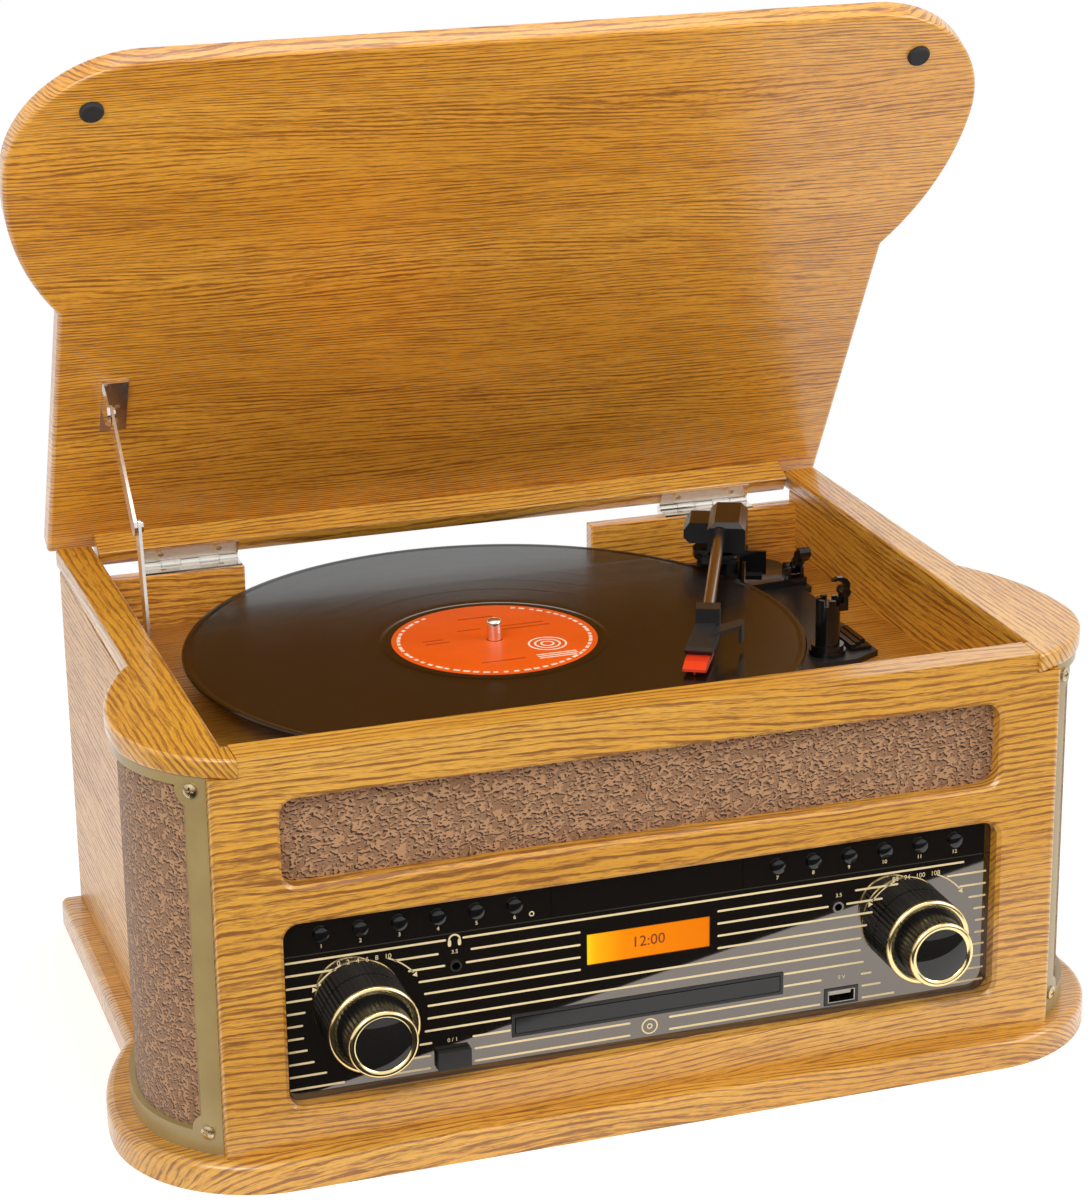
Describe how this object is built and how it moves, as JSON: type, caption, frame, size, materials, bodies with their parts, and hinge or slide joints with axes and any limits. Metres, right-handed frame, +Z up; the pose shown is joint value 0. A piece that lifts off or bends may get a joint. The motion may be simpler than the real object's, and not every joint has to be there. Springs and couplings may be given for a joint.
{
  "type": "stereo music centre",
  "caption": "Table-top wooden music centre with a folding lid, belt-driven record player, front disc tray, push buttons, two knobs and curved side speaker bays.",
  "frame": {"origin": "centre of the underside of the base board", "axes": "+X to the right seen from the front, +Y to the back, +Z up"},
  "size_m": [0.476, 0.3515, 0.4722],
  "materials": {
    "oak": "golden oak veneer, satin lacquer, dark brown grain",
    "grille_cloth": "mottled brown woven speaker cloth",
    "frame_gold": "olive gold metallic paint",
    "nickel": "bright nickel plate",
    "steel": "brushed steel",
    "black_gloss": "gloss black acrylic",
    "black_plastic": "satin black plastic",
    "knob_black": "black with gold rings",
    "vinyl": "grooved gloss black vinyl",
    "rubber": "black rubber",
    "display": "lit orange display",
    "board_green": "green lacquered circuit board",
    "brass": "turned brass",
    "stylus_red": "translucent red plastic"
  },
  "bodies": {
    "cabinet": {"base_plinth": "oak", "left_side_panel": "oak", "right_side_panel": "oak", "back_panel": "oak", "front_panel": "oak", "left_top_cap": "oak", "right_top_cap": "oak", "deck_board": "oak", "left_grille_frame": "frame_gold", "right_grille_frame": "frame_gold", "left_grille_cloth": "grille_cloth", "right_grille_cloth": "grille_cloth", "front_grille_cloth": "grille_cloth", "frame_screws": "nickel", "fascia_panel": "black_gloss", "display_window": "display", "sockets": "steel", "circuit_boards": "board_green", "cd_drive": "steel", "turntable_plate": "black_plastic", "platter_motor": "steel", "drive_belt": "rubber", "tonearm_base": "black_plastic", "arm_rest": "black_plastic", "cabinet_hinge_leaves": "nickel", "stay_foot": "nickel", "speakers": "black_plastic"},
    "lid": {"lid_board": "oak", "lid_rail": "oak", "lid_buffers": "rubber", "lid_hinge_leaves": "nickel", "stay_bracket": "nickel"},
    "stay_upper": {"stay_upper_arm": "nickel"},
    "stay_lower": {"stay_lower_arm": "nickel"},
    "platter": {"platter": "black_plastic", "vinyl_record": "vinyl"},
    "pulley": {"motor_pulley": "brass"},
    "arm_swing": {"tonearm_yoke": "black_plastic"},
    "arm_lift": {"tonearm_tube": "steel", "headshell": "black_plastic", "cartridge": "stylus_red"},
    "rest_clip": {"arm_rest_clip": "black_plastic"},
    "cue_lever": {"cue_lever": "black_plastic"},
    "speed_switch": {"speed_switch": "black_plastic"},
    "volume_knob": {"volume_knob": "knob_black"},
    "tuning_knob": {"tuning_knob": "knob_black"},
    "power_button": {"power_button": "black_plastic"},
    "cd_tray": {"cd_tray": "black_plastic"},
    "source_button": {"source_button": "black_plastic"},
    "program_button": {"program_button": "black_plastic"},
    "repeat_button": {"repeat_button": "black_plastic"},
    "random_button": {"random_button": "black_plastic"},
    "record_button": {"record_button": "black_plastic"},
    "standby_button": {"standby_button": "black_plastic"},
    "open_button": {"open_button": "black_plastic"},
    "stop_button": {"stop_button": "black_plastic"},
    "previous_button": {"previous_button": "black_plastic"},
    "play_button": {"play_button": "black_plastic"},
    "next_button": {"next_button": "black_plastic"},
    "mode_button": {"mode_button": "black_plastic"}
  },
  "joints": [
    {"name": "lid_hinge", "type": "hinge", "parent": "cabinet", "child": "lid", "pos_m": [0, 0.1597, 0.18825], "axis": [1, 0, 0], "range_deg": [0, 60]},
    {"name": "stay_upper_pivot", "type": "hinge", "parent": "lid", "child": "stay_upper", "pos_m": [-0.185, 0.10835, 0.28469], "axis": [1, 0, 0], "range_deg": [-97, 0]},
    {"name": "stay_knuckle", "type": "hinge", "parent": "stay_upper", "child": "stay_lower", "pos_m": [-0.184, 0.0625, 0.241], "axis": [1, 0, 0], "range_deg": [0, 134]},
    {"name": "platter_spin", "type": "hinge", "parent": "cabinet", "child": "platter", "pos_m": [-0.0195, 0.0245, 0.163], "axis": [0, 0, 1], "continuous": true},
    {"name": "pulley_spin", "type": "hinge", "parent": "cabinet", "child": "pulley", "pos_m": [-0.0796, 0.0846, 0.163], "axis": [0, 0, 1], "continuous": true},
    {"name": "tonearm_swing", "type": "hinge", "parent": "cabinet", "child": "arm_swing", "pos_m": [0.127, 0.0995, 0.18], "axis": [0, 0, 1], "range_deg": [-20, 29.5]},
    {"name": "tonearm_lift", "type": "hinge", "parent": "arm_swing", "child": "arm_lift", "pos_m": [0.127, 0.0995, 0.195], "axis": [-0.9143, 0.4051, 0], "range_deg": [0, 2]},
    {"name": "rest_clip_pivot", "type": "hinge", "parent": "cabinet", "child": "rest_clip", "pos_m": [0.1467, -0.0142, 0.194], "axis": [0, 1, 0], "range_deg": [0, 70]},
    {"name": "cue_lever_pivot", "type": "hinge", "parent": "cabinet", "child": "cue_lever", "pos_m": [0.165, 0.0929, 0.17], "axis": [1, 0, 0], "range_deg": [-45, 0]},
    {"name": "speed_slide", "type": "slide", "parent": "cabinet", "child": "speed_switch", "axis": [0, 1, 0], "range_m": [0, 0.008]},
    {"name": "volume_turn", "type": "hinge", "parent": "cabinet", "child": "volume_knob", "pos_m": [-0.1315, -0.1455, 0.0693], "axis": [0, -1, 0], "range_deg": [-150, 150]},
    {"name": "tuning_turn", "type": "hinge", "parent": "cabinet", "child": "tuning_knob", "pos_m": [0.1315, -0.1455, 0.0693], "axis": [0, -1, 0], "continuous": true},
    {"name": "power_push", "type": "slide", "parent": "cabinet", "child": "power_button", "axis": [0, 1, 0], "range_m": [0, 0.002], "stiffness_N_per_m": 300},
    {"name": "cd_tray_slide", "type": "slide", "parent": "cabinet", "child": "cd_tray", "axis": [0, -1, 0], "range_m": [0, 0.128]},
    {"name": "source_push", "type": "slide", "parent": "cabinet", "child": "source_button", "axis": [0, 1, 0], "range_m": [0, 0.0009], "stiffness_N_per_m": 300},
    {"name": "program_push", "type": "slide", "parent": "cabinet", "child": "program_button", "axis": [0, 1, 0], "range_m": [0, 0.0009], "stiffness_N_per_m": 300},
    {"name": "repeat_push", "type": "slide", "parent": "cabinet", "child": "repeat_button", "axis": [0, 1, 0], "range_m": [0, 0.0009], "stiffness_N_per_m": 300},
    {"name": "random_push", "type": "slide", "parent": "cabinet", "child": "random_button", "axis": [0, 1, 0], "range_m": [0, 0.0009], "stiffness_N_per_m": 300},
    {"name": "record_push", "type": "slide", "parent": "cabinet", "child": "record_button", "axis": [0, 1, 0], "range_m": [0, 0.0009], "stiffness_N_per_m": 300},
    {"name": "standby_push", "type": "slide", "parent": "cabinet", "child": "standby_button", "axis": [0, 1, 0], "range_m": [0, 0.0009], "stiffness_N_per_m": 300},
    {"name": "open_push", "type": "slide", "parent": "cabinet", "child": "open_button", "axis": [0, 1, 0], "range_m": [0, 0.0009], "stiffness_N_per_m": 300},
    {"name": "stop_push", "type": "slide", "parent": "cabinet", "child": "stop_button", "axis": [0, 1, 0], "range_m": [0, 0.0009], "stiffness_N_per_m": 300},
    {"name": "previous_push", "type": "slide", "parent": "cabinet", "child": "previous_button", "axis": [0, 1, 0], "range_m": [0, 0.0009], "stiffness_N_per_m": 300},
    {"name": "play_push", "type": "slide", "parent": "cabinet", "child": "play_button", "axis": [0, 1, 0], "range_m": [0, 0.0009], "stiffness_N_per_m": 300},
    {"name": "next_push", "type": "slide", "parent": "cabinet", "child": "next_button", "axis": [0, 1, 0], "range_m": [0, 0.0009], "stiffness_N_per_m": 300},
    {"name": "mode_push", "type": "slide", "parent": "cabinet", "child": "mode_button", "axis": [0, 1, 0], "range_m": [0, 0.0009], "stiffness_N_per_m": 300}
  ],
  "couplings": [
    {"joint": "stay_upper_pivot", "follows": "lid_hinge", "ratio": -1.614},
    {"joint": "stay_knuckle", "follows": "lid_hinge", "ratio": 2.23},
    {"joint": "pulley_spin", "follows": "platter_spin", "ratio": 13.6}
  ]
}
